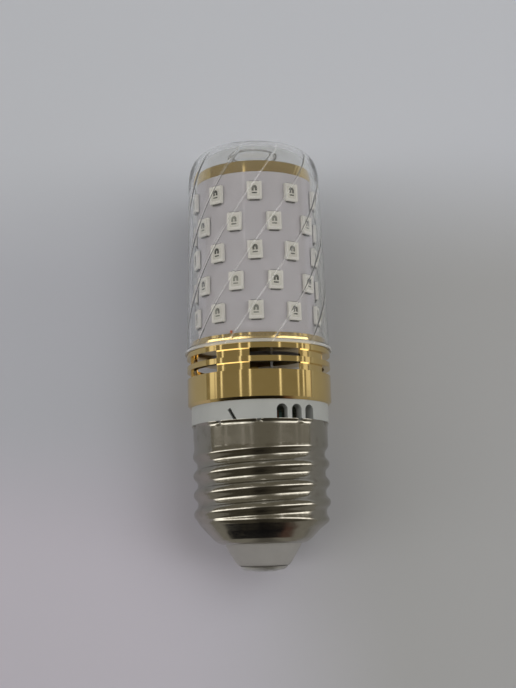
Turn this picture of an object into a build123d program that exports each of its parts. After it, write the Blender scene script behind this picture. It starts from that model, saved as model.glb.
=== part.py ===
"""Screw-cap lamp: a tube of light chips under a clear cover, on a vented gilt ring.

The lamp stands on its centre contact. +Z runs from the contact to the top of the cover,
the origin is at the tip of the contact, and the front, with its row of small vents, is -Y.
"""
import os
from math import cos, radians, sin

from build123d import *

os.makedirs("parts", exist_ok=True)

# Clearances between pieces
fit_gap = 0.1
thread_gap = 0.25
seat_gap = 0.02
cover_gap = 0.2

# Centre contact and its rivet stem
contact_radius = 4.8
contact_flat_radius = 1.6
contact_brow_radius = 3.8
contact_brow_height = 0.35
contact_height = 1.1
stem_radius = 1.2
stem_length = 4.2

# Insulator between the contact and the shell
insulator_height = 4.1
insulator_ledge = 0.6
insulator_plug_height = 2.6

# Screw shell, rolled from thin sheet
shell_wall = 0.3
shell_mouth_radius = 7.8
shell_knee_radius = 10.6
shell_knee_height = 1.7
shell_bowl_height = 4.0
thread_pitch = 25.4 / 7
thread_crest_radius = 13.1
thread_depth = 0.85
thread_crest_width = 0.9
thread_crests = 4
last_crest_share = 0.5
collar_sink = 0.15
shell_collar_height = 5.8
collar_slope_height = 0.7
rim_flare = 0.4
shell_rim_height = 0.6
crimp_count = 10
crimp_first_angle = -0.7
crimp_width = 0.9
crimp_depth = 0.4

# White housing that holds the driver
housing_step = 0.25
housing_band_height = 3.5
housing_wall = 1.2
housing_floor = 1.2
spigot_step = 0.6
spigot_height = 4.6
vent_width = 2.1
vent_top_margin = 0.85
vent_below_rim = 1.2
vent_step_angle = 13.0
vent_middle_angle = 31.1
vents_in_group = 3
neutral_angle = -22.0
neutral_lean = 30.0
neutral_slot_width = 0.65
neutral_slot_height = 3.2
neutral_slot_rise = 0.6

# Gilt ring with two rows of windows, and the collar round the foot of the cover
ring_wall = 1.2
ring_groove_depth = 0.65
ring_band_height = 5.5
ring_edge_bevel = 0.5
window_height = 1.45
window_rib_height = 1.05
window_count = 5
window_angle = 43.2
window_middle_angle = 14.6
ring_plate_height = 1.05
ring_plate_ledge = 1.0
collar_wall = 0.7
collar_height = 2.0

# Tube of circuit board that carries the light chips, and its gilt cap
wire_gutter = 0.8
board_wall = 0.8
board_height = 33.35
wire_notch_width = 1.4
wire_notch_height = 1.6
cap_height = 2.2
cap_plug_height = 2.0

# Light chips on the board
package_width = 2.8
package_length = 3.5
package_height = 0.7
package_window_width = 2.0
package_window_length = 2.4
package_window_depth = 0.3
packages_per_row = 10
row_count = 5
first_row_rise = 6.4
last_row_drop = 3.95

# Clear cover
cover_wall = 0.8
cover_flange_overhang = 0.4
cover_flange_height = 0.6
cover_taper = 1.0
cover_crown_gap = 3.85
cover_corner_round = 5.0
cover_dome_rise = 1.8
cover_boss_radius = 4.9
cover_boss_height = 0.8

# Driver board, on edge in the housing, and the parts soldered to it
driver_edge_gap = 0.6
driver_board_over_band = 0.3
driver_board_thickness = 1.2
driver_board_offset = 2.0
side_reach = 5.3
wire_lane = 2.0
capacitor_length = 11.0
capacitor_rise = 5.0
film_thickness = 3.8
film_height = 5.6
film_rise = 1.2
choke_flange_lip = 0.8
choke_flange_height = 0.8
choke_height = 6.0
choke_rise = 12.0
bridge_width = 4.8
bridge_height = 4.2
bridge_depth = 2.4
bridge_rise = 5.0
driver_chip_width = 5.0
driver_chip_height = 4.0
driver_chip_depth = 1.5
driver_chip_rise = 12.0
fuse_radius = 1.2
fuse_length = 6.0
fuse_lane_gap = 0.2
fuse_drop = 2.2

# Wires
live_wire_radius = 0.45
live_wire_rise = 9.0
thin_wire_radius = 0.25
led_terminal_drop = 0.6
led_wire_angle = -24.0
led_wire_tip_rise = 0.7
return_wire_angle = 150.0
return_wire_end_rise = 4.0

# Heights of the stacked pieces above the tip of the contact
stem_top = contact_height + stem_length
insulator_base = contact_height
shell_base = insulator_base + insulator_height
shell_knee = shell_base + shell_knee_height
thread_base = shell_base + shell_bowl_height
collar_base = thread_base + (thread_crests - last_crest_share) * thread_pitch
shell_top = collar_base + shell_collar_height
band_top = shell_top + housing_band_height
housing_top = band_top + spigot_height
low_window_base = band_top + ring_band_height
high_window_base = low_window_base + window_height + window_rib_height
ring_top = high_window_base + window_height + ring_plate_height
ring_plate_base = ring_top - ring_plate_height
collar_top = ring_top + collar_height
board_top = ring_top + board_height
row_step = (board_height - first_row_rise - last_row_drop) / (row_count - 1)
cover_corner = board_top + cap_height + cover_crown_gap
cover_crown = cover_corner + cover_dome_rise
cover_top = cover_crown + cover_boss_height

# Radii, each from the piece that it fits on or in
thread_root_radius = thread_crest_radius - thread_depth
shell_collar_radius = thread_crest_radius - collar_sink
shell_rim_radius = shell_collar_radius + rim_flare
neck_radius = thread_root_radius - shell_wall - thread_gap
throat_radius = shell_collar_radius - shell_wall - fit_gap
housing_radius = shell_collar_radius + housing_step
spigot_radius = housing_radius - spigot_step
neck_bore_radius = neck_radius - housing_wall
upper_bore_radius = throat_radius - housing_wall
ring_bore_radius = spigot_radius + fit_gap
ring_radius = ring_bore_radius + ring_wall
ring_groove_radius = ring_radius - ring_groove_depth
cover_base_radius = ring_radius
cover_bore_radius = cover_base_radius - cover_wall
cover_flange_radius = cover_base_radius + cover_flange_overhang
cover_top_radius = cover_base_radius - cover_taper
collar_radius = cover_bore_radius - cover_gap
collar_bore_radius = collar_radius - collar_wall
board_radius = collar_bore_radius - wire_gutter
board_bore_radius = board_radius - board_wall
ring_plate_bore_radius = board_bore_radius - ring_plate_ledge

# Places and sizes of what the housing holds
housing_base = thread_base + fit_gap
housing_floor_top = housing_base + housing_floor
neutral_slot_middle = shell_top + neutral_slot_rise
driver_board_width = 2 * (neck_bore_radius - driver_edge_gap)
driver_board_height = band_top + driver_board_over_band - housing_floor_top
side_offset = neck_bore_radius - side_reach
capacitor_radius = side_offset - wire_lane
film_width = 2 * (side_offset - wire_lane)
choke_radius = side_offset - wire_lane
choke_core_radius = choke_radius - choke_flange_lip
fuse_rise = driver_board_height - fuse_drop
led_terminal_rise = driver_board_height - led_terminal_drop
driver_face = driver_board_offset - driver_board_thickness / 2
driver_back = driver_board_offset + driver_board_thickness / 2
front = -90.0


def facing(angle, radius=0.0, height=0.0):
    """A plane that faces outwards at an angle from the front towards +X, its y axis upwards."""
    turn = radians(front + angle)
    outwards = Vector(cos(turn), sin(turn), 0)
    sideways = Vector(-sin(turn), cos(turn), 0)
    return Plane(origin=outwards * radius + Vector(0, 0, height), x_dir=sideways, z_dir=outwards)


# Centre contact: a shallow dome with a small flat, and its rivet stem
with BuildPart() as centre_contact:
    with BuildSketch(Plane.XZ):
        Polygon(
            (0, 0),
            (contact_flat_radius, 0),
            (contact_brow_radius, contact_brow_height),
            (contact_radius, contact_height),
            (stem_radius, contact_height),
            (stem_radius, stem_top),
            (0, stem_top),
            align=None,
        )
    revolve(axis=Axis.Z)
centre_contact.part.label = "centre_contact"
export_step(centre_contact.part, "parts/centre_contact.step")

# Insulator: a cone under the shell, with a plug inside its mouth
with BuildPart() as cap_insulator:
    plug_radius = shell_mouth_radius - shell_wall - fit_gap
    plug_top = shell_base + insulator_plug_height
    with BuildSketch(Plane.XZ):
        Polygon(
            (stem_radius + fit_gap, insulator_base),
            (contact_radius, insulator_base),
            (shell_mouth_radius - insulator_ledge, shell_base),
            (plug_radius, shell_base),
            (plug_radius, plug_top),
            (stem_radius + fit_gap, plug_top),
            align=None,
        )
    revolve(axis=Axis.Z)
cap_insulator.part.label = "cap_insulator"
export_step(cap_insulator.part, "parts/cap_insulator.step")

# Screw shell: crests and roots turned round a plain bore, the last crest running into the collar
with BuildPart() as screw_shell:
    flank_width = (thread_pitch - thread_crest_width) / 2
    outline = [
        (shell_mouth_radius, shell_base),
        (shell_knee_radius, shell_knee),
        (thread_root_radius, thread_base),
    ]
    for crest in range(thread_crests):
        crest_start = thread_base + crest * thread_pitch + flank_width
        crest_end = crest_start + thread_crest_width
        outline += [
            (thread_crest_radius, crest_start),
            (thread_crest_radius, crest_end),
            (thread_root_radius, crest_end + flank_width),
        ]
    outline.pop()
    outline += [
        (shell_collar_radius, collar_base + collar_slope_height),
        (shell_collar_radius, shell_top - shell_rim_height),
        (shell_rim_radius, shell_top),
        (shell_collar_radius - shell_wall, shell_top),
        (shell_collar_radius - shell_wall, collar_base + collar_slope_height),
        (thread_root_radius - shell_wall, collar_base),
        (thread_root_radius - shell_wall, thread_base),
        (shell_knee_radius - shell_wall, shell_knee + shell_wall),
        (shell_mouth_radius - shell_wall, shell_base + shell_wall),
        (shell_mouth_radius - shell_wall, shell_base),
    ]
    with BuildSketch(Plane.XZ):
        Polygon(*outline, align=None)
    revolve(axis=Axis.Z)
    for crimp in range(crimp_count):
        with BuildSketch(facing(crimp_first_angle + crimp * 360 / crimp_count, 0, shell_top)):
            Polygon((-crimp_width / 2, 0), (0, -crimp_depth), (crimp_width / 2, 0), align=None)
        extrude(amount=shell_rim_radius + shell_wall, mode=Mode.SUBTRACT)
screw_shell.part.label = "screw_shell"
export_step(screw_shell.part, "parts/screw_shell.step")

# Housing: a cup with a threaded neck's bore, a white band, a spigot and arched vents
with BuildPart() as base_housing:
    with BuildSketch(Plane.XZ):
        Polygon(
            (0, housing_base),
            (neck_radius, housing_base),
            (neck_radius, collar_base + collar_slope_height),
            (throat_radius, collar_base + collar_slope_height),
            (throat_radius, shell_top),
            (housing_radius, shell_top),
            (housing_radius, band_top),
            (spigot_radius, band_top),
            (spigot_radius, housing_top),
            (upper_bore_radius, housing_top),
            (upper_bore_radius, collar_base + housing_wall),
            (neck_bore_radius, collar_base),
            (neck_bore_radius, housing_floor_top),
            (0, housing_floor_top),
            align=None,
        )
    revolve(axis=Axis.Z)
    Hole(radius=stem_radius)
    vent_base = shell_top - vent_below_rim
    vent_top = band_top - vent_top_margin
    vent_length = vent_top - vent_base
    for side in (0, 180):
        for step in range(vents_in_group):
            angle = side + vent_middle_angle + (step - (vents_in_group - 1) / 2) * vent_step_angle
            with BuildSketch(facing(angle, 0, vent_base)):
                with Locations((0, (vent_length - vent_width / 2) / 2)):
                    Rectangle(vent_width, vent_length - vent_width / 2)
                with Locations((0, vent_length - vent_width / 2)):
                    Circle(vent_width / 2)
            extrude(amount=housing_radius + housing_wall, mode=Mode.SUBTRACT)
    with BuildSketch(facing(neutral_angle, 0, neutral_slot_middle)):
        Rectangle(neutral_slot_width, neutral_slot_height, rotation=neutral_lean)
    extrude(amount=housing_radius + housing_wall, mode=Mode.SUBTRACT)
base_housing.part.label = "base_housing"
export_step(base_housing.part, "parts/base_housing.step")

# Gilt ring: a band, two grooves with windows, a plate under the cover and a collar inside it
with BuildPart() as vent_ring:
    with BuildSketch(Plane.XZ):
        Polygon(
            (ring_bore_radius, band_top),
            (ring_radius - ring_edge_bevel, band_top),
            (ring_radius, band_top + ring_edge_bevel),
            (ring_radius, low_window_base),
            (ring_groove_radius, low_window_base),
            (ring_groove_radius, low_window_base + window_height),
            (ring_radius, low_window_base + window_height),
            (ring_radius, high_window_base),
            (ring_groove_radius, high_window_base),
            (ring_groove_radius, ring_plate_base),
            (ring_radius, ring_plate_base),
            (ring_radius, ring_top),
            (collar_radius, ring_top),
            (collar_radius, collar_top),
            (collar_bore_radius, collar_top),
            (collar_bore_radius, ring_top),
            (ring_plate_bore_radius, ring_top),
            (ring_plate_bore_radius, ring_plate_base),
            (ring_bore_radius, ring_plate_base),
            align=None,
        )
    revolve(axis=Axis.Z)
    for base in (low_window_base, high_window_base):
        with BuildSketch(Plane.XY.offset(base)):
            for window in range(window_count):
                turn = front + window_middle_angle + window * 360 / window_count - window_angle / 2
                with BuildLine():
                    reach = ring_radius + ring_wall
                    CenterArc((0, 0), reach, turn, window_angle)
                    start = (reach * cos(radians(turn)), reach * sin(radians(turn)))
                    end_turn = turn + window_angle
                    end = (reach * cos(radians(end_turn)), reach * sin(radians(end_turn)))
                    Polyline(start, (0, 0), end)
                make_face()
            Circle(ring_bore_radius - ring_wall, mode=Mode.SUBTRACT)
        extrude(amount=window_height, mode=Mode.SUBTRACT)
vent_ring.part.label = "vent_ring"
export_step(vent_ring.part, "parts/vent_ring.step")

# Board tube, standing on the ring's plate, with a notch where the wire comes through
with BuildPart() as led_board:
    with BuildSketch(Plane.XY.offset(ring_top)):
        Circle(board_radius)
        Circle(board_bore_radius, mode=Mode.SUBTRACT)
    extrude(amount=board_height)
    with BuildSketch(facing(led_wire_angle, 0, ring_top)):
        with Locations((0, wire_notch_height / 2)):
            Rectangle(wire_notch_width, wire_notch_height)
    extrude(amount=board_radius + board_wall, mode=Mode.SUBTRACT)
led_board.part.label = "led_board"
export_step(led_board.part, "parts/led_board.step")

# Gilt cap with a plug in the top of the board tube
with BuildPart() as board_cap:
    with BuildSketch(Plane.XY.offset(board_top)):
        Circle(board_radius)
    extrude(amount=cap_height)
    with BuildSketch(Plane.XY.offset(board_top)):
        Circle(board_bore_radius - fit_gap)
    extrude(amount=-cap_plug_height)
board_cap.part.label = "board_cap"
export_step(board_cap.part, "parts/board_cap.step")

# Light chips: small boxes with a sunk window, in staggered rows round the board
with BuildPart() as led_packages:
    for row in range(row_count):
        height = ring_top + first_row_rise + row * row_step
        for place in range(packages_per_row):
            angle = (place + (row % 2) / 2) * 360 / packages_per_row
            seat = facing(angle, board_radius + seat_gap, height)
            with BuildSketch(seat):
                Rectangle(package_width, package_length)
            extrude(amount=package_height)
            with BuildSketch(seat.offset(package_height)):
                Rectangle(package_window_width, package_window_length)
            extrude(amount=-package_window_depth, mode=Mode.SUBTRACT)
led_packages.part.label = "led_packages"
export_step(led_packages.part, "parts/led_packages.step")

# Clear cover: a tapered wall, a flange at its foot, a rounded shoulder and a boss on top
with BuildPart() as cover:
    wall_base = ring_top + cover_flange_height
    with BuildSketch(Plane.XZ):
        with BuildLine():
            FilletPolyline(
                (cover_base_radius, wall_base),
                (cover_top_radius, cover_corner),
                (cover_boss_radius, cover_crown),
                radius=cover_corner_round,
            )
            Polyline(
                (cover_boss_radius, cover_crown),
                (cover_boss_radius, cover_top),
                (0, cover_top),
                (0, cover_crown - cover_wall),
                (cover_boss_radius, cover_crown - cover_wall),
                (cover_top_radius - cover_wall, cover_corner + cover_wall - cover_corner_round),
                (cover_bore_radius, wall_base),
                (cover_bore_radius, ring_top),
                (cover_flange_radius, ring_top),
                (cover_flange_radius, wall_base),
                (cover_base_radius, wall_base),
            )
        make_face()
    revolve(axis=Axis.Z)
cover.part.label = "cover"
export_step(cover.part, "parts/cover.step")

# Driver board, standing on the floor of the housing
with BuildPart() as driver_board:
    with BuildSketch(Plane.XZ.offset(-driver_board_offset)):
        with Locations((0, housing_floor_top + driver_board_height / 2)):
            Rectangle(driver_board_width, driver_board_height)
    extrude(amount=driver_board_thickness / 2, both=True)
driver_board.part.label = "driver_board"
export_step(driver_board.part, "parts/driver_board.step")

# Smoothing capacitor: an upright can against the front of the board
with BuildPart() as smoothing_capacitor:
    can_base = Plane.XY.offset(housing_floor_top + capacitor_rise)
    with BuildSketch(can_base):
        with Locations((side_offset, driver_face - seat_gap - capacitor_radius)):
            Circle(capacitor_radius)
    extrude(amount=capacitor_length)
smoothing_capacitor.part.label = "smoothing_capacitor"
export_step(smoothing_capacitor.part, "parts/smoothing_capacitor.step")

# Film capacitor: a moulded block on the front of the board
with BuildPart() as film_capacitor:
    with BuildSketch(Plane.XZ.offset(-driver_face)):
        with Locations((-side_offset, housing_floor_top + film_rise + film_height / 2)):
            Rectangle(film_width, film_height)
    extrude(amount=film_thickness)
film_capacitor.part.label = "film_capacitor"
export_step(film_capacitor.part, "parts/film_capacitor.step")

# Choke: a bobbin of two flanges and the wound core between them
with BuildPart() as choke:
    choke_height_above_tip = housing_floor_top + choke_rise
    for inset, radius, length in (
        (0, choke_radius, choke_flange_height),
        (choke_flange_height, choke_core_radius, choke_height - 2 * choke_flange_height),
        (choke_height - choke_flange_height, choke_radius, choke_flange_height),
    ):
        with BuildSketch(Plane.XZ.offset(inset - driver_face)):
            with Locations((-side_offset, choke_height_above_tip)):
                Circle(radius)
        extrude(amount=length)
choke.part.label = "choke"
export_step(choke.part, "parts/choke.step")

# Bridge rectifier and driver chip, on the back of the board
with BuildPart() as bridge_rectifier:
    with BuildSketch(Plane.XZ.offset(-driver_back)):
        with Locations((-side_offset, housing_floor_top + bridge_rise)):
            Rectangle(bridge_width, bridge_height)
    extrude(amount=-bridge_depth)
bridge_rectifier.part.label = "bridge_rectifier"
export_step(bridge_rectifier.part, "parts/bridge_rectifier.step")

with BuildPart() as driver_chip:
    with BuildSketch(Plane.XZ.offset(-driver_back)):
        with Locations((side_offset, housing_floor_top + driver_chip_rise)):
            Rectangle(driver_chip_width, driver_chip_height)
    extrude(amount=-driver_chip_depth)
driver_chip.part.label = "driver_chip"
export_step(driver_chip.part, "parts/driver_chip.step")

# Fusible resistor, lying across the front of the board beside the wires' lane
with BuildPart() as fusible_resistor:
    with BuildSketch(Plane.YZ.offset(fuse_lane_gap - wire_lane)):
        with Locations((driver_face - seat_gap - fuse_radius, housing_floor_top + fuse_rise)):
            Circle(fuse_radius)
    extrude(amount=fuse_length)
fusible_resistor.part.label = "fusible_resistor"
export_step(fusible_resistor.part, "parts/fusible_resistor.step")


def wire(points, radius):
    """A round wire along straight runs."""
    with BuildPart() as run:
        with BuildLine() as path:
            Polyline(*points)
        with BuildSketch(Plane(origin=path.line @ 0, z_dir=path.line % 0)):
            Circle(radius)
        sweep(path=path.line, transition=Transition.RIGHT)
    return run.part


# Live wire: from the contact's stem up to the front of the driver board
live_top = housing_floor_top + live_wire_rise
live_wire = wire(
    [(0, 0, stem_top), (0, 0, live_top), (0, driver_face, live_top)],
    live_wire_radius,
)
live_wire.label = "live_wire"
export_step(live_wire, "parts/live_wire.step")

# Neutral wire: from the board out through the housing's slot, its tip leaning up over the rim
inside_rim = shell_collar_radius - shell_wall - fit_gap - thin_wire_radius
slot_plane = facing(neutral_angle, inside_rim, neutral_slot_middle)
slot_run = neutral_slot_height / 2 - neutral_slot_width
slot_aside = slot_run * sin(radians(neutral_lean))
slot_rise = slot_run * cos(radians(neutral_lean))
neutral_exit = slot_plane.from_local_coords(Vector(slot_aside, -slot_rise, 0))
neutral_tip = slot_plane.from_local_coords(Vector(-slot_aside, slot_rise, 0))
neutral_start = Vector(neutral_exit.X / 2, driver_face, neutral_exit.Z)
neutral_turn = Vector(neutral_exit.X / 2, neutral_exit.Y / 2, neutral_exit.Z)
neutral_wire = wire([neutral_start, neutral_turn, neutral_exit, neutral_tip], thin_wire_radius)
neutral_wire.label = "neutral_wire"
export_step(neutral_wire, "parts/neutral_wire.step")

# Feed wire: up the front of the driver board, through the ring and out at the foot of the tube
feed_lane = facing(led_wire_angle, neck_bore_radius / 2, 0).origin
led_terminal_height = housing_floor_top + led_terminal_rise
feed_start = Vector(feed_lane.X, driver_face, led_terminal_height)
feed_turn = Vector(feed_lane.X, feed_lane.Y, led_terminal_height)
feed_height = ring_top + wire_notch_height / 2
feed_rise = Vector(feed_lane.X, feed_lane.Y, feed_height)
gutter_radius = (board_radius + collar_bore_radius) / 2
feed_out = facing(led_wire_angle, gutter_radius, feed_height).origin
feed_tip = facing(led_wire_angle, gutter_radius, collar_top + led_wire_tip_rise).origin
feed_wire = wire([feed_start, feed_turn, feed_rise, feed_out, feed_tip], thin_wire_radius)
feed_wire.label = "feed_wire"
export_step(feed_wire, "parts/feed_wire.step")

# Return wire: up the back of the driver board to the inside of the tube
return_lane = facing(return_wire_angle, neck_bore_radius / 2, 0).origin
return_end_height = ring_top + return_wire_end_rise
return_start = Vector(return_lane.X, driver_back, led_terminal_height)
return_turn = Vector(return_lane.X, return_lane.Y, led_terminal_height)
return_rise = Vector(return_lane.X, return_lane.Y, return_end_height)
return_tip = facing(return_wire_angle, board_bore_radius - fit_gap, return_end_height).origin
return_wire = wire([return_start, return_turn, return_rise, return_tip], thin_wire_radius)
return_wire.label = "return_wire"
export_step(return_wire, "parts/return_wire.step")
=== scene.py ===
"""Looks of a screw-cap lamp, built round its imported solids.

Lengths are written in millimetres and multiplied by MM. Angles are in degrees from the front of
the lamp (-Y), growing towards +X. The lamp lies with its back on a pale board, which is the
stage, and the camera looks at its front.
"""
from math import cos, exp, pi, radians, sin

import bmesh
import bpy
from mathutils import Matrix, Vector


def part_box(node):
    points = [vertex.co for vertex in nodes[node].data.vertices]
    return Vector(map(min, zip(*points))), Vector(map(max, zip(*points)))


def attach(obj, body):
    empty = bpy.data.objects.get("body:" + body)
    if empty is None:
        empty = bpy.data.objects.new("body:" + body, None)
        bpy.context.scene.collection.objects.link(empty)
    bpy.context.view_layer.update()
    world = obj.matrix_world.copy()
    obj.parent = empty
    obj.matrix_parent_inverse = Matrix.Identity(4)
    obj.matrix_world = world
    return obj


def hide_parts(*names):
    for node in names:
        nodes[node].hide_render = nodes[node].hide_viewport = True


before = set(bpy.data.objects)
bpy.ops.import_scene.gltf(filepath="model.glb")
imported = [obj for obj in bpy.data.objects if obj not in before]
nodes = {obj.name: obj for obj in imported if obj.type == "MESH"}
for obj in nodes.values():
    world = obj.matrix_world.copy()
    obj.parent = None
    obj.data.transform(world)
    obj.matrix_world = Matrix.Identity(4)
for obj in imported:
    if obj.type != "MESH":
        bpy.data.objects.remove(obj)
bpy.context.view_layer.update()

MM = 0.001
FRONT = radians(-90)
scene = bpy.context.scene


def height_of(node):
    """The lowest and highest point of a CAD node, in millimetres."""
    low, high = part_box(node)
    return low.z / MM, high.z / MM


def radius_of(node):
    """The largest reach of a CAD node from the lamp's axis, in millimetres."""
    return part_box(node)[1].x / MM


# Node trees ---------------------------------------------------------------------------------


class Value:
    """A socket of a node tree. Arithmetic on it adds Math nodes."""

    def __init__(self, tree, socket):
        self.tree = tree
        self.socket = socket

    def out(self, name):
        """Another output of the same node."""
        return Value(self.tree, self.socket.node.outputs[name])

    def maths(self, operation, *others):
        return self.tree.add("ShaderNodeMath", [self, *others], operation=operation)

    def __add__(self, other):
        return self.maths("ADD", other)

    def __sub__(self, other):
        return self.maths("SUBTRACT", other)

    def __rsub__(self, other):
        return self.tree.add("ShaderNodeMath", [other, self], operation="SUBTRACT")

    def __mul__(self, other):
        return self.maths("MULTIPLY", other)

    def __truediv__(self, other):
        return self.maths("DIVIDE", other)

    def __pow__(self, other):
        return self.maths("POWER", other)

    def __gt__(self, other):
        return self.maths("GREATER_THAN", other)

    __radd__ = __add__
    __rmul__ = __mul__


class Tree:
    """Adds nodes to a node tree and joins them."""

    def __init__(self, group):
        self.group = group
        group.nodes.clear()

    def add(self, kind, sockets=(), **settings):
        """A node of a kind: first its settings, then its sockets, listed in order or named."""
        node = self.group.nodes.new(kind)
        for name, value in settings.items():
            setattr(node, name, value)
        pairs = sockets.items() if isinstance(sockets, dict) else enumerate(sockets)
        for key, value in pairs:
            if isinstance(value, Value):
                self.group.links.new(value.socket, node.inputs[key])
            else:
                node.inputs[key].default_value = value
        return Value(self, node.outputs[0]) if node.outputs else None

    def place(self):
        """Object coordinates, in metres."""
        return self.add("ShaderNodeTexCoord").out("Object")

    def apart(self, vector):
        """The x, y and z of a vector."""
        split = self.add("ShaderNodeSeparateXYZ", [vector])
        return split, split.out("Y"), split.out("Z")

    def stretched(self, vector, *scale):
        """A vector scaled along its axes, so that a texture on it stretches."""
        return self.add("ShaderNodeMapping", {"Vector": vector, "Scale": scale})

    def noise(self, vector, size, detail=3.0, roughness=0.5):
        """Noise from 0 to 1 with features of a size in millimetres."""
        sockets = {"Vector": vector, "Scale": 1 / (size * MM), "Detail": detail}
        return self.add("ShaderNodeTexNoise", {**sockets, "Roughness": roughness})

    def between(self, value, low, high, new_low=0.0, new_high=1.0):
        """A value's smooth step from low to high, given as new_low to new_high."""
        return self.add(
            "ShaderNodeMapRange",
            [value, low, high, new_low, new_high],
            interpolation_type="SMOOTHSTEP",
        )

    def tint(self, factor, first, second):
        """A colour between two."""
        mixed = self.add("ShaderNodeMix", {0: factor, 6: first, 7: second}, data_type="RGBA")
        return mixed.out(2)

    def bump(self, height, depth, strength=1.0):
        """A bumped normal from a height of 0 to 1, the depth in millimetres."""
        sockets = {"Height": height, "Strength": strength, "Distance": depth * MM}
        return self.add("ShaderNodeBump", sockets)


def rgb(red, green, blue):
    return red, green, blue, 1.0


def finish(wire):
    """Makes the material that a function wires; the function's name is the material's."""
    material = bpy.data.materials.new(wire.__name__)
    material.use_nodes = True
    tree = Tree(material.node_tree)
    tree.add("ShaderNodeOutputMaterial", {"Surface": wire(tree)})
    return material


# Sizes of the clear cover, for its finish and its mesh ---------------------------------------

cover_low, cover_high = height_of("cover")
flange_radius = radius_of("cover")
base_radius = radius_of("vent_ring")
cover_wall = 0.8
shoulder_radius = base_radius - 1.0
shoulder_height = cover_high - 2.5
shoulder_reach = 5.0
boss_radius = 4.9
boss_height = 0.8
boss_dish = 0.3
crown = cover_high - boss_height

# Ribs inside the cover: they climb with a slope of degrees for each millimetre of height, and
# the first one stands at rib_first degrees at rib_first_height
rib_count = 10
rib_slope = 3.15
rib_half_width = 0.36
rib_depth = 0.09
rib_first = -3.5
rib_first_height = 60.0

# Finishes -----------------------------------------------------------------------------------


def plain_plastic(tree, light, dark, roughness, blotch=2.5, grain=0.12, depth=0.004):
    """Moulded plastic: two close colours in soft blotches, and a fine grain."""
    place = tree.place()
    cloud = tree.noise(place, blotch, 4.0)
    fine = tree.noise(place, grain, 2.0)
    sockets = {
        "Base Color": tree.tint(cloud, dark, light),
        "Roughness": roughness + 0.12 * (cloud - 0.5),
        "Normal": tree.bump(fine, depth),
    }
    return tree.add("ShaderNodeBsdfPrincipled", sockets)


@finish
def clear_plastic(tree):
    place = tree.place()
    across, deep, up = tree.apart(place)
    flow = tree.noise(tree.stretched(place, 1, 1, 0.35), 3.0, 2.0)
    clear = tree.add(
        "ShaderNodeBsdfPrincipled",
        {
            "Base Color": tree.tint(flow, rgb(0.94, 0.95, 0.95), rgb(0.98, 0.98, 0.97)),
            "Roughness": 0.02 + 0.03 * flow,
            "IOR": 1.49,
            "Transmission Weight": 1.0,
            "Normal": tree.bump(flow, 0.01, 0.35),
        },
    )
    # The flange is a little milky, and the whole cover faintly so; the pale milk along the ribs is
    # a painted highlight, and the boss's rim and top are partly painted grey, a painted shade for
    # the dark lines of its refraction
    height = up / MM
    twist = (height - rib_first_height) * radians(rib_slope)
    turn = deep.maths("ARCTAN2", across) - FRONT - radians(rib_first) - twist
    rib_step = 2 * pi / rib_count
    number = turn / rib_step
    off_rib = (number - number.maths("ROUND")).maths("ABSOLUTE") * (rib_step * base_radius)
    below_crown = tree.between(height, crown - 3, crown - 1.5, 1, 0)
    # Painted highlight: the pale milk along each rib
    rib = tree.between(off_rib, 0.03, 0.17, 0.24, 0) * below_crown
    flange = tree.between(height, cover_low + 0.4, cover_low + 0.65, 0.34, 0)
    rim = tree.between(height, crown + 0.56, crown + 0.66)
    milky_and_painted_lines = 0.025 + rib + flange + rim * 0.35
    pale = tree.add("ShaderNodeBsdfDiffuse", {"Color": rgb(0.88, 0.88, 0.86)})
    # Painted shade: the dark grey that the boss's rim and top are partly painted with
    painted_dark_grey = tree.add("ShaderNodeBsdfDiffuse", {"Color": rgb(0.20, 0.205, 0.205)})
    haze_and_painted_lines = tree.add("ShaderNodeMixShader", [rim, pale, painted_dark_grey])
    plastic = tree.add("ShaderNodeMixShader", [milky_and_painted_lines, clear, haze_and_painted_lines])
    through = tree.add("ShaderNodeBsdfTransparent", {"Color": rgb(0.93, 0.94, 0.94)})
    shadow = tree.add("ShaderNodeLightPath").out("Is Shadow Ray")
    return tree.add("ShaderNodeMixShader", [shadow, plastic, through])


@finish
def gilt_metal(tree):
    place = tree.place()
    turned_marks = tree.noise(tree.stretched(place, 0.02, 0.02, 1), 0.09, 3.0)
    cloud = tree.noise(place, 4.0, 3.0)
    specks = tree.between(tree.noise(place, 0.5, 3.0), 0.66, 0.74)
    lacquer = tree.tint(cloud, rgb(0.68, 0.50, 0.20), rgb(0.78, 0.60, 0.27))
    return tree.add(
        "ShaderNodeBsdfPrincipled",
        {
            "Base Color": tree.tint(specks * 0.3, lacquer, rgb(0.42, 0.29, 0.12)),
            "Metallic": 1.0,
            "Roughness": 0.06 + 0.05 * cloud + 0.12 * specks,
            "Normal": tree.bump(turned_marks, 0.001, 0.4),
        },
    )


@finish
def nickel(tree):
    place = tree.place()
    drawn = tree.noise(tree.stretched(place, 0.05, 0.05, 1), 0.10, 3.0)
    dents = tree.noise(place, 1.6, 3.0)
    tarnish = tree.between(tree.noise(place, 2.4, 5.0, 0.65), 0.50, 0.72)
    return tree.add(
        "ShaderNodeBsdfPrincipled",
        {
            "Base Color": tree.tint(tarnish, rgb(0.37, 0.352, 0.302), rgb(0.29, 0.27, 0.222)),
            "Metallic": 1.0,
            "Roughness": 0.11 + 0.09 * tarnish + 0.03 * drawn,
            "Normal": tree.bump(0.3 * drawn + dents, 0.02, 0.4),
        },
    )


@finish
def contact_metal(tree):
    place = tree.place()
    scuffs = tree.noise(tree.stretched(place, 1, 0.12, 1), 0.25, 4.0)
    worn = tree.between(tree.noise(place, 1.5, 4.0), 0.45, 0.7)
    return tree.add(
        "ShaderNodeBsdfPrincipled",
        {
            "Base Color": tree.tint(worn, rgb(0.68, 0.68, 0.68), rgb(0.52, 0.515, 0.50)),
            "Metallic": 1.0,
            "Roughness": 0.30 + 0.2 * worn,
            "Normal": tree.bump(scuffs, 0.01, 0.5),
        },
    )


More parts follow.
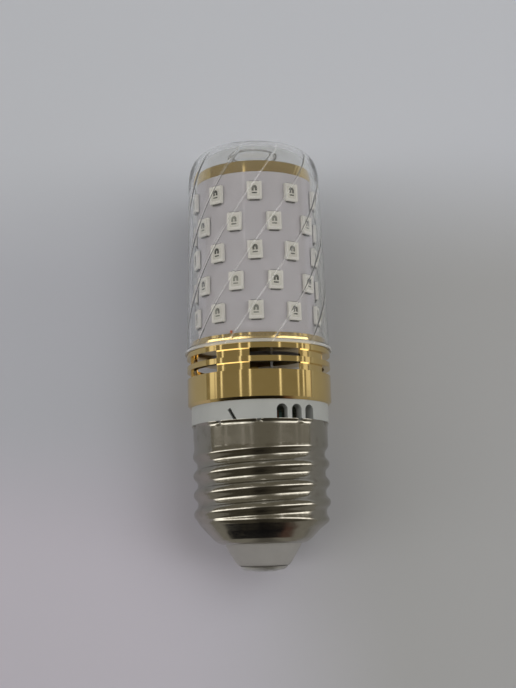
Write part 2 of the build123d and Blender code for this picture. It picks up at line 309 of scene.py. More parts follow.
@finish
def board_white(tree):
    place = tree.place()
    cloud = tree.noise(place, 5.0, 3.0)
    weave = tree.noise(tree.stretched(place, 1, 1, 0.2), 0.25, 2.0)
    return tree.add(
        "ShaderNodeBsdfPrincipled",
        {
            "Base Color": tree.tint(cloud, rgb(0.50, 0.47, 0.515), rgb(0.54, 0.51, 0.545)),
            "Roughness": 0.42 + 0.1 * cloud,
            "Normal": tree.bump(weave, 0.004, 0.5),
        },
    )


@finish
def package_white(tree):
    light, dark = rgb(0.80, 0.77, 0.73), rgb(0.74, 0.71, 0.67)
    return plain_plastic(tree, light, dark, 0.38, blotch=0.8, grain=0.06, depth=0.003)


@finish
def package_resin(tree):
    light, dark = rgb(0.74, 0.71, 0.65), rgb(0.67, 0.645, 0.59)
    return plain_plastic(tree, light, dark, 0.20, blotch=0.6, grain=0.1, depth=0.002)


@finish
def package_frame(tree):
    place = tree.place()
    pale = tree.between(tree.noise(place, 5.0, 1.0), 0.45, 0.62)
    return tree.add(
        "ShaderNodeBsdfPrincipled",
        {
            "Base Color": tree.tint(pale, rgb(0.035, 0.035, 0.03), rgb(0.24, 0.24, 0.21)),
            "Roughness": 0.35 + 0.1 * tree.noise(place, 0.3),
        },
    )


@finish
def solder_painted_dark(tree):
    place = tree.place()
    wrinkle = tree.noise(place, 0.3, 3.0)
    # Painted shade: the terminals' tin is painted nearly black, for the shade under the chip
    return tree.add(
        "ShaderNodeBsdfPrincipled",
        {
            "Base Color": tree.tint(wrinkle, rgb(0.07, 0.07, 0.07), rgb(0.16, 0.16, 0.15)),
            "Metallic": 1.0,
            "Roughness": 0.25 + 0.2 * wrinkle,
            "Normal": tree.bump(wrinkle, 0.02, 0.6),
        },
    )


@finish
def housing_white(tree):
    light, dark = rgb(0.50, 0.515, 0.505), rgb(0.44, 0.455, 0.445)
    return plain_plastic(tree, light, dark, 0.40)


@finish
def insulator_grey(tree):
    light, dark = rgb(0.43, 0.42, 0.41), rgb(0.365, 0.355, 0.345)
    return plain_plastic(tree, light, dark, 0.55, blotch=1.8, grain=0.2, depth=0.012)


@finish
def driver_green(tree):
    place = tree.place()
    across, _, up = tree.apart(place)
    grid = tree.add(
        "ShaderNodeTexBrick",
        {
            "Vector": tree.add("ShaderNodeCombineXYZ", [across, up]),
            "Color1": rgb(0.11, 0.14, 0.12),
            "Color2": rgb(0.13, 0.165, 0.14),
            "Mortar": rgb(0.17, 0.21, 0.18),
            "Scale": 1 / (2.2 * MM),
            "Mortar Size": 0.08,
        },
    )
    return tree.add(
        "ShaderNodeBsdfPrincipled",
        {
            "Base Color": grid,
            "Roughness": 0.28 + 0.15 * tree.noise(place, 1.0),
            "Normal": tree.bump(grid.out("Fac"), 0.02, 0.6),
        },
    )


@finish
def capacitor_sleeve(tree):
    return plain_plastic(tree, rgb(0.03, 0.04, 0.10), rgb(0.02, 0.025, 0.06), 0.32)


@finish
def film_red(tree):
    return plain_plastic(tree, rgb(0.42, 0.06, 0.03), rgb(0.30, 0.04, 0.02), 0.30)


@finish
def choke_dark(tree):
    _, deep, _ = tree.apart(tree.place())
    wire = 0.28
    turns = (deep * (2 * pi / (wire * MM))).maths("SINE") * 0.5 + 0.5
    return tree.add(
        "ShaderNodeBsdfPrincipled",
        {
            "Base Color": tree.tint(turns, rgb(0.05, 0.03, 0.02), rgb(0.36, 0.13, 0.05)),
            "Roughness": 0.35 + 0.15 * turns,
            "Normal": tree.bump(turns, 0.05, 0.8),
        },
    )


@finish
def chip_black(tree):
    light, dark = rgb(0.028, 0.028, 0.030), rgb(0.018, 0.018, 0.02)
    return plain_plastic(tree, light, dark, 0.45, blotch=1.0, grain=0.08)


@finish
def resistor_body(tree):
    place = tree.place()
    across, _, _ = tree.apart(place)
    band_step = 1.5
    bands = (across * (2 * pi / (band_step * MM))).maths("SINE") > 0.6
    return tree.add(
        "ShaderNodeBsdfPrincipled",
        {
            "Base Color": tree.tint(bands, rgb(0.20, 0.35, 0.33), rgb(0.30, 0.08, 0.03)),
            "Roughness": 0.35 + 0.1 * tree.noise(place, 0.6),
        },
    )


@finish
def wire_black(tree):
    light, dark = rgb(0.030, 0.028, 0.028), rgb(0.018, 0.018, 0.018)
    return plain_plastic(tree, light, dark, 0.38, blotch=1.0, grain=0.1)


@finish
def wire_red(tree):
    light, dark = rgb(0.72, 0.15, 0.03), rgb(0.55, 0.09, 0.02)
    return plain_plastic(tree, light, dark, 0.35, blotch=1.0, grain=0.1)


@finish
def wire_white(tree):
    light, dark = rgb(0.72, 0.70, 0.66), rgb(0.62, 0.60, 0.57)
    return plain_plastic(tree, light, dark, 0.38, blotch=1.0, grain=0.1)


# Mesh making --------------------------------------------------------------------------------

crease = radians(38)


def piece(name, mesh, material, slot, *stands_for):
    """Shows a mesh as a piece of the lamp, in place of the CAD nodes that it stands for."""
    made = bpy.data.objects.new(name, mesh)
    scene.collection.objects.link(made)
    made.data.materials.clear()
    made.data.materials.append(material)
    made.data.shade_smooth()
    made.data.set_sharp_from_angle(angle=crease)
    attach(made, "root")
    if stands_for:
        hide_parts(*stands_for)
    return made


def skin(name, loops, ring=False):
    """A closed mesh over loops of points in millimetres; the outside is on the right going up."""
    mesh = bpy.data.meshes.new(name)
    work = bmesh.new()
    rows = [[work.verts.new(Vector(point) * MM) for point in loop] for loop in loops]
    count = len(rows[0])
    pairs = list(zip(rows, rows[1:]))
    if ring:
        pairs.append((rows[-1], rows[0]))
    for lower, upper in pairs:
        for here in range(count):
            there = (here + 1) % count
            work.faces.new((lower[here], lower[there], upper[there], upper[here]))
    if not ring:
        work.faces.new(rows[0][::-1])
        work.faces.new(rows[-1])
    bmesh.ops.remove_doubles(work, verts=work.verts, dist=0.001 * MM)
    work.to_mesh(mesh)
    work.free()
    return mesh


def eased(outline, reach, steps=5, closed=False):
    """An outline with each corner rounded over a reach in millimetres along both its sides."""
    points = [Vector(point) for point in outline]
    last = len(points) - 1
    soft = []
    for number, corner in enumerate(points):
        if not closed and number in (0, last):
            soft.append(corner)
            continue
        before = points[number - 1] - corner
        after = points[(number + 1) % len(points)] - corner
        start = corner + before.normalized() * min(reach, before.length * 0.45)
        end = corner + after.normalized() * min(reach, after.length * 0.45)
        for step in range(steps + 1):
            share = step / steps
            soft.append(
                start * (1 - share) ** 2 + corner * 2 * share * (1 - share) + end * share**2
            )
    return [tuple(point) for point in soft]


def turned_loops(outline, around):
    """Circles of points for an outline of radii and heights."""
    turns = [2 * pi * step / around for step in range(around)]
    return [[(r * cos(turn), r * sin(turn), z) for turn in turns] for r, z in outline]


def turned(name, outline, around=160, ring=False):
    """A turned mesh: its outline runs up the outside."""
    return skin(name, turned_loops(outline, around), ring)


def geometry_tree(name, inputs):
    """A Geometry Nodes tree with named inputs, and the Value of each."""
    group = bpy.data.node_groups.new(name, "GeometryNodeTree")
    group.interface.new_socket("Geometry", in_out="INPUT", socket_type="NodeSocketGeometry")
    group.interface.new_socket("Geometry", in_out="OUTPUT", socket_type="NodeSocketGeometry")
    for label, kind in inputs.items():
        group.interface.new_socket(label, in_out="INPUT", socket_type=f"NodeSocket{kind}")
    tree = Tree(group)
    entry = tree.add("NodeGroupInput")
    return tree, {label: entry.out(label) for label in ["Geometry", *inputs]}


def on_bench(mesh):
    """A short-lived object on which modifiers work at a mesh."""
    bench = bpy.data.objects.new("bench", mesh)
    scene.collection.objects.link(bench)
    return bench


def applied(bench):
    """The mesh of a bench with its modifiers applied; the bench is removed."""
    graph = bpy.context.evaluated_depsgraph_get()
    mesh = bpy.data.meshes.new_from_object(bench.evaluated_get(graph), depsgraph=graph)
    bpy.data.objects.remove(bench)
    return mesh


def run_nodes(mesh, tree, values):
    """The plain mesh that a Geometry Nodes tree makes from a mesh."""
    bench = on_bench(mesh)
    modifier = bench.modifiers.new("tree", "NODES")
    modifier.node_group = tree.group
    for item in tree.group.interface.items_tree:
        if item.in_out == "INPUT" and item.name in values:
            modifier[item.identifier] = values[item.name]
    return applied(bench)


# Centre contact and insulator ---------------------------------------------------------------

contact_high = height_of("centre_contact")[1]
insulator_low, insulator_high = height_of("cap_insulator")
shell_low, shell_high = height_of("screw_shell")
contact_outline = [
    (0, 0.0),
    (1.6, 0.0),
    (3.8, 0.35),
    (radius_of("centre_contact"), insulator_low),
    (1.2, insulator_low),
    (1.2, contact_high),
    (0, contact_high),
]
piece(
    "centre_contact_dome",
    turned("centre_contact_dome", eased(contact_outline, 0.7), 96),
    contact_metal,
    "contact_metal",
    "centre_contact",
)
insulator_outline = [
    (1.25, insulator_low),
    (4.75, insulator_low),
    (5.3, insulator_low + 0.7),
    (7.2, shell_low - 0.25),
    (7.2, shell_low),
    (7.4, shell_low),
    (7.4, insulator_high),
    (1.25, insulator_high),
]
piece(
    "insulator_cone",
    turned("insulator_cone", eased(insulator_outline, 0.35, 4, True), 128, True),
    insulator_grey,
    "insulator_grey",
    "cap_insulator",
)

# Screw shell: thin sheet with a thread rolled into it ---------------------------------------

thread_pitch = 25.4 / 7
thread_start = 9.07
thread_root = 12.27
thread_depth = 0.80
collar_depth = 0.66
thread_first_turn = 0.15
thread_last_turn = 4.1
thread_fade = 0.38
sheet = 0.3

# Crimps press the rim in and down, and slight flats run down the collar from them
crimps = 10
crimp_first = radians(-0.7)
crimp_width = 0.34
crimp_depth = 0.42
crimp_drop = 0.3
crimp_reach = 1.0
facet_depth = 0.05
facet_low = 20.5
facet_rise = 7.0

# The plain sheet: heights and radii of its corners, each softened over corner_reach
corner_reach = 0.45
shell_rows = 190
shell_corners = [
    (shell_low, 7.8),
    (shell_low + 0.45, 8.95),
    (shell_low + 2.1, 10.54),
    (shell_low + 3.85, 12.1),
    (shell_low + 4.15, thread_root + 0.12),
    (shell_low + 4.7, thread_root),
    (shell_high - 0.42, thread_root + 0.02),
    (shell_high - 0.12, thread_root + 0.32),
    (shell_high, thread_root + 0.30),
]


def shell_radius(height):
    """The radius of the plain sheet before the thread is rolled."""
    for (low, narrow), (high, wide) in zip(shell_corners, shell_corners[1:]):
        if height <= high:
            return narrow + (wide - narrow) * (height - low) / (high - low)
    return wide


def rolled_sheet(around=240):
    """The outside of the shell as an open sheet: softened corners, crimped and flared rim."""
    mesh = bpy.data.meshes.new("shell_sheet")
    work = bmesh.new()
    rows = []
    for row in range(shell_rows + 1):
        height = shell_low + (shell_high - shell_low) * row / shell_rows
        reach = min(corner_reach, height - shell_low, (shell_high - height) * 0.5 + 0.03)
        spread = [shell_radius(height + reach * step / 4) for step in range(-4, 5)]
        plain = sum(spread) / len(spread)
        near_rim = max(0.0, 1 - (shell_high - height) / crimp_reach)
        on_collar = max(0.0, min(1.0, (height - facet_low) / facet_rise))
        line = []
        for step in range(around):
            turn = 2 * pi * step / around
            crimp = 0.0
            for number in range(crimps):
                centre = FRONT + crimp_first + 2 * pi * number / crimps
                apart = (turn - centre + pi) % (2 * pi) - pi
                crimp += exp(-((apart * thread_root / crimp_width) ** 2))
            facet = 0.5 + 0.5 * cos(crimps * (turn - FRONT - crimp_first))
            radius = plain - crimp_depth * crimp * near_rim - facet_depth * facet * on_collar
            drop = crimp_drop * crimp * near_rim**4
            spot = Vector((radius * cos(turn), radius * sin(turn), height - drop))
            line.append(work.verts.new(spot * MM))
        rows.append(line)
    for lower, upper in zip(rows, rows[1:]):
        for here in range(around):
            there = (here + 1) % around
            work.faces.new((lower[here], lower[there], upper[there], upper[here]))
    work.to_mesh(mesh)
    work.free()
    return mesh


def thread_roller():
    """Pushes a sheet out along a right-handed helix, whose last groove runs out into the collar."""
    tree, given = geometry_tree(
        "rolled_thread",
        {
            "Start": "Float",
            "Pitch": "Float",
            "Crest Depth": "Float",
            "Collar Depth": "Float",
            "First Turn": "Float",
            "Last Turn": "Float",
            "Fade": "Float",
            "Material": "Material",
        },
    )
    across, deep, up = tree.apart(tree.add("GeometryNodeInputPosition"))
    radius = (across**2 + deep**2).maths("SQRT")
    turn = (deep.maths("ARCTAN2", across) / (2 * pi)).maths("FLOORED_MODULO", 1.0)
    phase = (up - given["Start"]) / given["Pitch"] - turn
    crest = phase.maths("ROUND")
    wave = ((phase - crest) * (2 * pi)).maths("COSINE") * 0.5 + 0.5
    first = given["First Turn"]
    begun = tree.between(crest + turn, first - given["Fade"], first)
    last = given["Last Turn"]
    filled = tree.between(phase.maths("FLOOR") + turn + 0.5, last - given["Fade"], last)
    broad_root = wave**1.35
    broad_crest = tree.between(wave, 0, 1)
    rolled = (broad_root * 0.5 + broad_crest * 0.5) * begun
    raised = rolled + (1 - rolled) * filled
    collar_start = given["Start"] + given["Pitch"] * (last - 0.6)
    on_collar = tree.between(up, collar_start, collar_start + given["Pitch"] * 0.4)
    depth = given["Crest Depth"] - (given["Crest Depth"] - given["Collar Depth"]) * on_collar
    outwards = tree.add("ShaderNodeCombineXYZ", [across / radius, deep / radius])
    offset = tree.add("ShaderNodeVectorMath", {0: outwards, 3: raised * depth}, operation="SCALE")
    moved = tree.add(
        "GeometryNodeSetPosition", {"Geometry": given["Geometry"], "Offset": offset}
    )
    plain = tree.add("GeometryNodeRealizeInstances", [moved])
    dressed = tree.add(
        "GeometryNodeSetMaterial", {"Geometry": plain, "Material": given["Material"]}
    )
    tree.add("NodeGroupOutput", [dressed])
    return tree


threaded = run_nodes(
    rolled_sheet(),
    thread_roller(),
    {
        "Start": thread_start * MM,
        "Pitch": thread_pitch * MM,
        "Crest Depth": thread_depth * MM,
        "Collar Depth": collar_depth * MM,
        "First Turn": thread_first_turn,
        "Last Turn": thread_last_turn,
        "Fade": thread_fade,
        "Material": nickel,
    },
)
bench = on_bench(threaded)
wall = bench.modifiers.new("wall", "SOLIDIFY")
wall.thickness = sheet * MM
wall.offset = -1
piece("threaded_shell", applied(bench), nickel, "nickel", "screw_shell")

# Clear cover --------------------------------------------------------------------------------


def shoulder(inset):
    """Points of the rounded shoulder between the side wall and the dome, going up."""
    return eased(
        [
            (base_radius - inset, cover_low),
            (shoulder_radius - inset, shoulder_height - inset),
            (boss_radius, crown - inset),
        ],
        shoulder_reach,
        14,
    )[1:-1]


def cover_rows():
    """The cover's section: radius, height and how strongly the ribs show, up the outside first."""
    wall_low = cover_low + 0.75
    rows = [
        (base_radius - cover_wall, cover_low, 0),
        (flange_radius - 0.05, cover_low, 0),
        (flange_radius, cover_low + 0.08, 0),
        (flange_radius, cover_low + 0.45, 0),
        (flange_radius - 0.12, cover_low + 0.58, 0),
        (base_radius + 0.1, cover_low + 0.6, 0),
        (base_radius, wall_low, 0),
    ]
    taper = (base_radius - shoulder_radius) / (shoulder_height - cover_low)
    side_rows = 40
    side_top = shoulder_height - shoulder_reach - 0.2
    rib_top = crown - cover_wall - 1.2
    for row in range(1, side_rows + 1):
        height = wall_low + (side_top - wall_low) * row / side_rows
        rows.append((base_radius - taper * (height - cover_low), height, 0))
    rows += [(radius, height, 0) for radius, height in shoulder(0)]
    rim = boss_radius - 0.1
    boss = eased(
        [
            (boss_radius + 1.2, crown - 0.25),
            (boss_radius, crown),
            (rim, cover_high),
            (rim - 0.6, cover_high),
            (rim - 0.75, cover_high - boss_dish),
            (0, cover_high - boss_dish),
        ],
        0.12,
        3,
    )
    rows += [(radius, height, 0) for radius, height in boss]
    inner_crown = crown - cover_wall
    under = eased([(0, inner_crown), (boss_radius, inner_crown), (9, crown - 2)], 4, 8)
    rows += [(radius, height, 0) for radius, height in under[:-1]]
    for radius, height in reversed(shoulder(cover_wall)):
        rows.append((radius, height, max(0.0, min(1.0, (rib_top - height) / 3))))
    inner_top = side_top - 1.0
    for row in range(side_rows, 0, -1):
        height = wall_low + (inner_top - wall_low) * row / side_rows
        strength = min(1.0, (height - wall_low) / 1.5)
        rows.append((base_radius - cover_wall - taper * (height - cover_low), height, strength))
    return rows


def cover_columns():
    """Angles round the cover and how high the rib stands there, with close columns at each rib."""
    columns = []
    profile = ((-1, 0), (-0.55, 0.35), (-0.2, 0.92), (0.2, 0.92), (0.55, 0.35), (1, 0))
    side = rib_half_width / base_radius
    gap = 2 * pi / rib_count - 2 * side
    for rib in range(rib_count):
        centre = radians(rib_first) + rib * 2 * pi / rib_count
        columns += [(centre + offset * side, rise) for offset, rise in profile]
        columns += [(centre + side + gap * step / 14, 0) for step in range(1, 14)]
    return columns


def cover_mesh():
    """The cover as one closed wall, its ribs twisting round the inside."""
    loops = []
    for radius, height, strength in cover_rows():
        twist = radians(rib_slope * (height - rib_first_height))
        loop = []
        for angle, rise in cover_columns():
            turn = FRONT + angle + twist
            reach = radius - strength * rise * rib_depth
            loop.append((reach * cos(turn), reach * sin(turn), height))
        loops.append(loop)
    return skin("clear_cover", loops, True)


piece("clear_cover", cover_mesh(), clear_plastic, "clear_plastic", "cover")

# Light chips --------------------------------------------------------------------------------

chips_low, chips_high = height_of("led_packages")
package_width = 2.8
package_length = 3.5
package_foot = 0.10
package_top = 0.70
window_width = 1.9
window_length = 2.3
board_radius = radius_of("led_board")
seat_gap = 0.02
chip_rows = 5
chips_per_row = 10
chip_first_row = chips_low + package_length / 2
chip_row_step = (chips_high - chips_low - package_length) / (chip_rows - 1)


def rounded_loop(width, length, corner, out):
    """A rounded rectangle facing +X, at a distance out from the seat."""
    points = []
    for number, (side, top) in enumerate(((1, -1), (1, 1), (-1, 1), (-1, -1))):
        for step in range(4):
            turn = radians(-90 + 90 * number + 30 * step)
            y = side * (width / 2 - corner) + corner * cos(turn)
            z = top * (length / 2 - corner) + corner * sin(turn)
            points.append((out, y, z))
    return points


def body_loop(wider, out):
    """The outline of the chip's body, wider by a little."""
    return rounded_loop(package_width + wider, package_length + wider, 0.12, out)


def window_loop(wider, out):
    """The outline of the chip's window, wider by a little."""
    return rounded_loop(window_width + wider, window_length + wider, 0.3, out)


def package_body():
    """The chip's white body with a sunk window, its lip softly rounded."""
    loops = [
        body_loop(0, package_foot),
        body_loop(0, package_top - 0.1),
        body_loop(-0.1, package_top),
        window_loop(0.16, package_top),
        window_loop(0.08, package_top - 0.03),
        window_loop(0, package_top - 0.1),
    ]
    return skin("package_body", loops)


def package_window():
    """Resin that fills the window to just under its lip."""
    loops = [
        window_loop(-0.02, package_top - 0.09),
        window_loop(0.06, package_top - 0.035),
        window_loop(-0.3, package_top - 0.03),
    ]
    return skin("package_window", loops)


def slab(work, points, low, high):
    """A flat plate facing +X over an outline of points, from low to high."""
    under = [work.verts.new(Vector((low, y, z)) * MM) for y, z in points]
    over = [work.verts.new(Vector((high, y, z)) * MM) for y, z in points]
    work.faces.new(under[::-1])
    work.faces.new(over)
    for here in range(len(points)):
        there = (here + 1) % len(points)
        work.faces.new((under[here], under[there], over[there], over[here]))


def package_frame_mesh():
    """The dark arch and bar of the lead frame, seen in the window."""
    mesh = bpy.data.meshes.new("package_frame")
    work = bmesh.new()
    foot, shoulder_level = -0.14, 0.44
    outer, slit = 0.52, 0.10
    arch = [(outer, foot)]
    for step in range(9):
        turn = pi * step / 8
        arch.append((outer * cos(turn), shoulder_level + outer * sin(turn)))
    arch += [(-outer, foot), (-slit, foot), (-slit, shoulder_level)]
    arch += [(slit, shoulder_level), (slit, foot)]
    bar = [(-0.48, -0.68), (0.48, -0.68), (0.48, -0.42), (-0.48, -0.42)]
    for outline in (arch, bar):
        slab(work, outline, package_top - 0.04, package_top - 0.015)
    work.to_mesh(mesh)
    work.free()
    return mesh


def package_terminals():
    """Tinned terminals under the chip, showing at its upper and lower ends."""
    mesh = bpy.data.meshes.new("package_terminals")
    work = bmesh.new()
    for height in (-1.84, 1.78):
        place = Matrix.Translation(Vector((0.27, 0, height)) * MM)
        size = Matrix.Diagonal((0.40 * MM, 1.9 * MM, 0.22 * MM, 1))
        bmesh.ops.create_cube(work, size=1, matrix=place @ size)
    bmesh.ops.bevel(work, geom=work.edges[:], offset=0.03 * MM, segments=2, affect="EDGES")
    work.to_mesh(mesh)
    work.free()
    return mesh


def chip_setter():
    """Sets a small part in staggered rows round the board, facing outwards."""
    tree, given = geometry_tree(
        "chip_rows",
        {
            "Part": "Object",
            "Rows": "Int",
            "Per Row": "Int",
            "Seat": "Float",
            "First Height": "Float",
            "Row Step": "Float",
            "Front": "Float",
            "Angle Play": "Float",
            "Height Play": "Float",
            "Roll Play": "Float",
            "Seed": "Int",
            "Material": "Material",
        },
    )

    def play(amount, salt):
        """A random amount either way for each chip, the same for every part of it."""
        sockets = {2: amount * -1, 3: amount, "Seed": given["Seed"] + salt}
        return tree.add("FunctionNodeRandomValue", sockets, data_type="FLOAT").out(1)

    line = tree.add("GeometryNodeMeshLine", {"Count": given["Rows"] * given["Per Row"]})
    index = tree.add("GeometryNodeInputIndex")
    row = (index / given["Per Row"]).maths("FLOOR")
    column = index - row * given["Per Row"] + row.maths("MODULO", 2.0) * 0.5
    turn = column / given["Per Row"] * (2 * pi) + given["Front"] + play(given["Angle Play"], 1)
    spot = tree.add(
        "ShaderNodeCombineXYZ",
        [
            turn.maths("COSINE") * given["Seat"],
            turn.maths("SINE") * given["Seat"],
            given["First Height"] + row * given["Row Step"] + play(given["Height Play"], 2),
        ],
    )
    points = tree.add("GeometryNodeSetPosition", {"Geometry": line, "Position": spot})
    part = tree.add("GeometryNodeObjectInfo", {"Object": given["Part"]}).out("Geometry")
    facing_out = tree.add("ShaderNodeCombineXYZ", {"X": play(given["Roll Play"], 3), "Z": turn})
    copies = tree.add(
        "GeometryNodeInstanceOnPoints",
        {"Points": points, "Instance": part, "Rotation": facing_out},
    )
    plain = tree.add("GeometryNodeRealizeInstances", [copies])
    dressed = tree.add(
        "GeometryNodeSetMaterial", {"Geometry": plain, "Material": given["Material"]}
    )
    tree.add("NodeGroupOutput", [dressed])
    return tree


chip_tree = chip_setter()
for name, mesh, material, slot, stands_for in (
    ("chip_bodies", package_body(), package_white, "package_white", ["led_packages"]),
    ("chip_windows", package_window(), package_resin, "package_white", []),
    ("chip_frames", package_frame_mesh(), package_frame, "package_white", []),
    ("chip_terminals", package_terminals(), solder_painted_dark, "package_white", []),
):
    pattern = bpy.data.objects.new("pattern", mesh)
    scene.collection.objects.link(pattern)
    rows_of_chips = run_nodes(
        bpy.data.meshes.new("empty"),
        chip_tree,
        {
            "Part": pattern,
            "Rows": chip_rows,
            "Per Row": chips_per_row,
            "Seat": (board_radius + seat_gap) * MM,
            "First Height": chip_first_row * MM,
            "Row Step": chip_row_step * MM,
            "Front": FRONT,
            "Angle Play": radians(1.4),
            "Height Play": 0.08 * MM,
            "Roll Play": radians(1.8),
            "Seed": 7,
            "Material": material,
        },
    )
    bpy.data.objects.remove(pattern)
    piece(name, rows_of_chips, material, slot, *stands_for)

# Turned gilt pieces, their edges softly rounded ---------------------------------------------

for name, node, edge in (("gilt_ring", "vent_ring", 0.14), ("gilt_cap", "board_cap", 0.12)):
    bench = on_bench(nodes[node].data.copy())
    flats = bench.modifiers.new("flats", "DECIMATE")
    flats.decimate_type = "DISSOLVE"
    flats.angle_limit = radians(0.5)
    rounding = bench.modifiers.new("rounding", "BEVEL")
    rounding.width = edge * MM
    rounding.segments = 3
    rounding.angle_limit = radians(40)
    rounding.use_clamp_overlap = True
    piece(name, applied(bench), gilt_metal, "gilt_metal", node)

# CAD nodes that keep their shape ------------------------------------------------------------

for node, material in {
    "base_housing": housing_white,
    "led_board": board_white,
    "driver_board": driver_green,
    "smoothing_capacitor": capacitor_sleeve,
    "film_capacitor": film_red,
    "choke": choke_dark,
    "bridge_rectifier": chip_black,
    "driver_chip": chip_black,
    "fusible_resistor": resistor_body,
    "live_wire": wire_black,
    "neutral_wire": wire_black,
    "feed_wire": wire_red,
    "return_wire": wire_white,
}.items():
    for material_slot in nodes[node].material_slots:
        material_slot.material = material

# Stage, camera and light --------------------------------------------------------------------


@finish
def pale_board(tree):
    place = tree.place()
    across, _, up = tree.apart(place)
    cloud = tree.noise(place, 60.0, 2.0)
    # Painted light and shade: the board is painted paler at the top and to the lower left, and
    # cooler on the left and darker and warmer on the right, for how the light falls on it
    rightwards = tree.between(across / MM, -30, 30)
    low = tree.between(up / MM, 35, 5) * (1 - rightwards)
    high = tree.between(up / MM, 55, 92)
    sides = tree.tint(rightwards, rgb(0.565, 0.58, 0.65), rgb(0.475, 0.48, 0.495))
    lower = tree.tint(low, sides, rgb(0.65, 0.625, 0.72))
    whole = tree.tint(high, lower, rgb(0.665, 0.69, 0.76))
    colour = tree.tint(cloud * 0.12, whole, rgb(0.75, 0.76, 0.78))
    matt = {"Base Color": colour, "Roughness": 1.0, "Specular IOR Level": 0.0}
    front = tree.add("ShaderNodeBsdfPrincipled", matt)
    clear = tree.add("ShaderNodeBsdfTransparent")
    # From behind the board doesn't hide the lamp, and the shell doesn't mirror its lower end
    back = tree.add("ShaderNodeNewGeometry").out("Backfacing")
    mirrored = tree.add("ShaderNodeLightPath").out("Is Glossy Ray")
    unseen = back.maths("MAXIMUM", mirrored * tree.between(up / MM, -4, -14))
    return tree.add("ShaderNodeMixShader", [unseen, front, clear])


# The board touches the cover's flange and the thread's middle crests
crest_radius = thread_root + thread_depth
crest_height = 22.0
board_slope = (flange_radius - crest_radius) / (cover_low - crest_height)
board_gap = 0.05
stage_reach = 900.0
stage_foot = -260.0
stage_mesh = bpy.data.meshes.new("pale_board")
stage_mesh.from_pydata(
    [
        (x * MM, (flange_radius + board_gap + (z - cover_low) * board_slope) * MM, z * MM)
        for x, z in (
            (-stage_reach, stage_foot),
            (stage_reach, stage_foot),
            (stage_reach, stage_reach),
            (-stage_reach, stage_reach),
        )
    ],
    [],
    [(0, 1, 2, 3)],
)
stage = bpy.data.objects.new("pale_board", stage_mesh)
stage_mesh.materials.append(pale_board)
scene.collection.objects.link(stage)

view_height = 43.7
view_distance = 225.0
view_elevation = radians(-10.0)
view_roll = radians(-1.6)
target = Vector((0, 0, view_height)) * MM
back = Vector((0, -cos(view_elevation), sin(view_elevation)))
camera = bpy.data.objects.new("camera", bpy.data.cameras.new("camera"))
camera.data.lens = 60.17
camera.data.sensor_width = 36
camera.data.clip_start = 0.01
aim = (-back).to_track_quat("-Z", "Y").to_matrix().to_4x4()
stand = Matrix.Translation(target + back * view_distance * MM)
camera.matrix_world = stand @ aim @ Matrix.Rotation(view_roll, 4, "Z")
scene.collection.objects.link(camera)
scene.camera = camera


def soft_light(name, azimuth, elevation, distance, size, power, colour):
    """A soft panel that shines at the middle of the lamp, and that nothing mirrors."""
    light = bpy.data.lights.new(name, "AREA")
    light.size = size * MM
    light.energy = power
    light.color = colour
    made = bpy.data.objects.new(name, light)
    made.visible_glossy = False
    made.visible_transmission = False
    turn = FRONT + radians(azimuth)
    level = cos(radians(elevation))
    away = Vector((level * cos(turn), level * sin(turn), sin(radians(elevation))))
    aim = (-away).to_track_quat("-Z", "Y").to_matrix().to_4x4()
    made.matrix_world = Matrix.Translation(target + away * distance * MM) @ aim
    scene.collection.objects.link(made)


soft_light("key", 28, 14, distance=420, size=260, power=0.36, colour=(0.96, 0.98, 0.98))
soft_light("fill", -35, 30, distance=480, size=320, power=0.21, colour=(0.90, 0.95, 1.0))

# The room that metal mirrors ----------------------------------------------------------------

# Azimuth, half width and brightness of the ceiling lights that streak the gilt ring
ceiling_lights = (
    (-79.5, 4.0, 0.70),
    (-72, 0.5, 0.80),
    (-61.5, 0.7, 1.05),
    (-29, 0.7, 1.05),
    (-14, 0.7, 1.05),
    (34, 0.7, 1.05),
    (65, 0.6, 0.75),
    (75, 0.7, 0.85),
    (85, 4.0, 0.60),
)
light_blur = 1.5
world = bpy.data.worlds.new("room")
scene.world = world
world.use_nodes = True
sky = Tree(world.node_tree)
side, depth, rise = sky.apart(sky.add("ShaderNodeTexCoord").out("Generated"))
azimuth = side.maths("ARCTAN2", depth * -1) * (180 / pi)
elevation = rise.maths("ARCSINE") * (180 / pi)
apart = azimuth.maths("ABSOLUTE")


def fades(value, full, gone):
    """One up to full, and falling to nothing at gone."""
    return sky.between(value, full, gone, 1, 0)


def near(value, centre, full, gone):
    """One near a centre, and falling to nothing at gone from it."""
    return fades((value - centre).maths("ABSOLUTE"), full, gone)


# Walls and ceiling
walls = sky.tint(sky.between(apart, 92, 112), rgb(0.23, 0.213, 0.173), rgb(0.62, 0.63, 0.66))
upper = sky.tint(sky.between(elevation, 60, 85), walls, rgb(0.42, 0.42, 0.41))

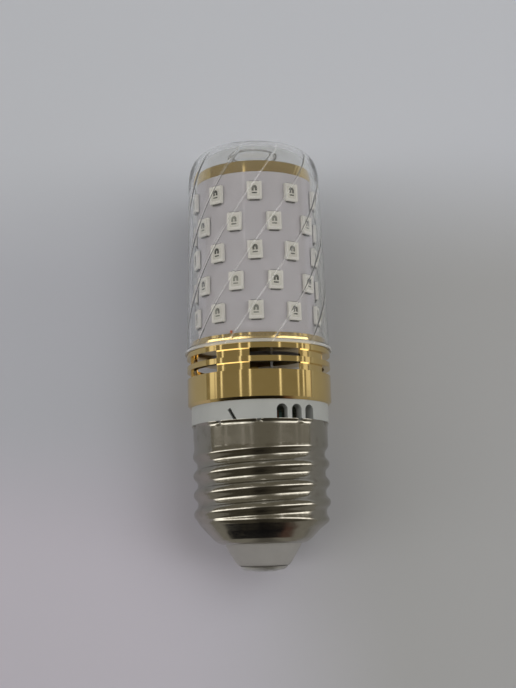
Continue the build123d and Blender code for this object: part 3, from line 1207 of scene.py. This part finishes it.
# Floor, darker in front of the lamp and darkest at the viewer
behind = fades(elevation, -22, -2) * sky.between(apart, 80, 100)
back_floor = sky.tint(behind, upper, rgb(0.30, 0.285, 0.255))
before = fades(elevation, -30, -18) * fades(apart, 80, 104)
floor = sky.tint(before * 0.8, back_floor, rgb(0.05, 0.043, 0.030))
viewer = fades(apart, 10, 26) * fades(elevation, -16, -5)
dimmed = sky.tint(viewer * 0.6, floor, rgb(0.03, 0.027, 0.022))

# Straight below, which the thread's undersides and the shell's bowl mirror
steep = depth * 0.5 - rise
off_bowl = ((steep - 0.958) / 0.048) ** 2
leftwards = depth + side * 0.35 + 0.08
groove = sky.between(steep, 0.70, 0.80) * near(side, 0.03, 0.05, 0.25)
reddish = fades((leftwards / 0.55) ** 2 + off_bowl, 0.7, 1.2) * sky.between(side, 0.0, 0.1)
black = fades((leftwards / 0.28) ** 2 + off_bowl, 0.8, 1.15)
stained = sky.tint(groove * 0.55, dimmed, rgb(0.012, 0.010, 0.009))
flushed = sky.tint(reddish, stained, rgb(0.10, 0.05, 0.038))
room = sky.tint(black, flushed, rgb(0.008, 0.008, 0.010))

# Lights: a row for the ring, a low glow for the thread, a tube for the cap and a high spot
streaks = 0.0
for centre, half_width, brightness in ceiling_lights:
    streaks = streaks + brightness * near(azimuth, centre, half_width, half_width + light_blur)
row = sky.between(elevation, 6.8, 7.6) * fades(elevation, 10.5, 12.5)
glow = sky.between(elevation, -16, -12) * fades(elevation, 0.4, 2.4) * fades(apart, 90, 98)
glow = glow * sky.between((azimuth - 6).maths("ABSOLUTE"), 10, 36, 0.05, 1)
tube = near(azimuth, -18, 1.5, 3) * sky.between(elevation, 17, 18) * fades(elevation, 21, 22)
spot = fades(apart, 2, 6) * near(elevation, 62, 3, 6)
shine = streaks * row + glow * (2.2 + streaks) + tube * 0.8 + spot * 1.6
lit = sky.add("ShaderNodeBackground", {"Color": room, "Strength": 1.0})
lamps = sky.add("ShaderNodeBackground", {"Color": rgb(1.0, 0.98, 0.97), "Strength": shine})
whole = sky.add("ShaderNodeAddShader", [lit, lamps])
seen = sky.add("ShaderNodeBackground", {"Color": rgb(0.44, 0.445, 0.47), "Strength": 1.0})
eye = sky.add("ShaderNodeLightPath").out("Is Camera Ray")
sky.add("ShaderNodeOutputWorld", {"Surface": sky.add("ShaderNodeMixShader", [eye, whole, seen])})
scene.view_settings.view_transform = "Standard"
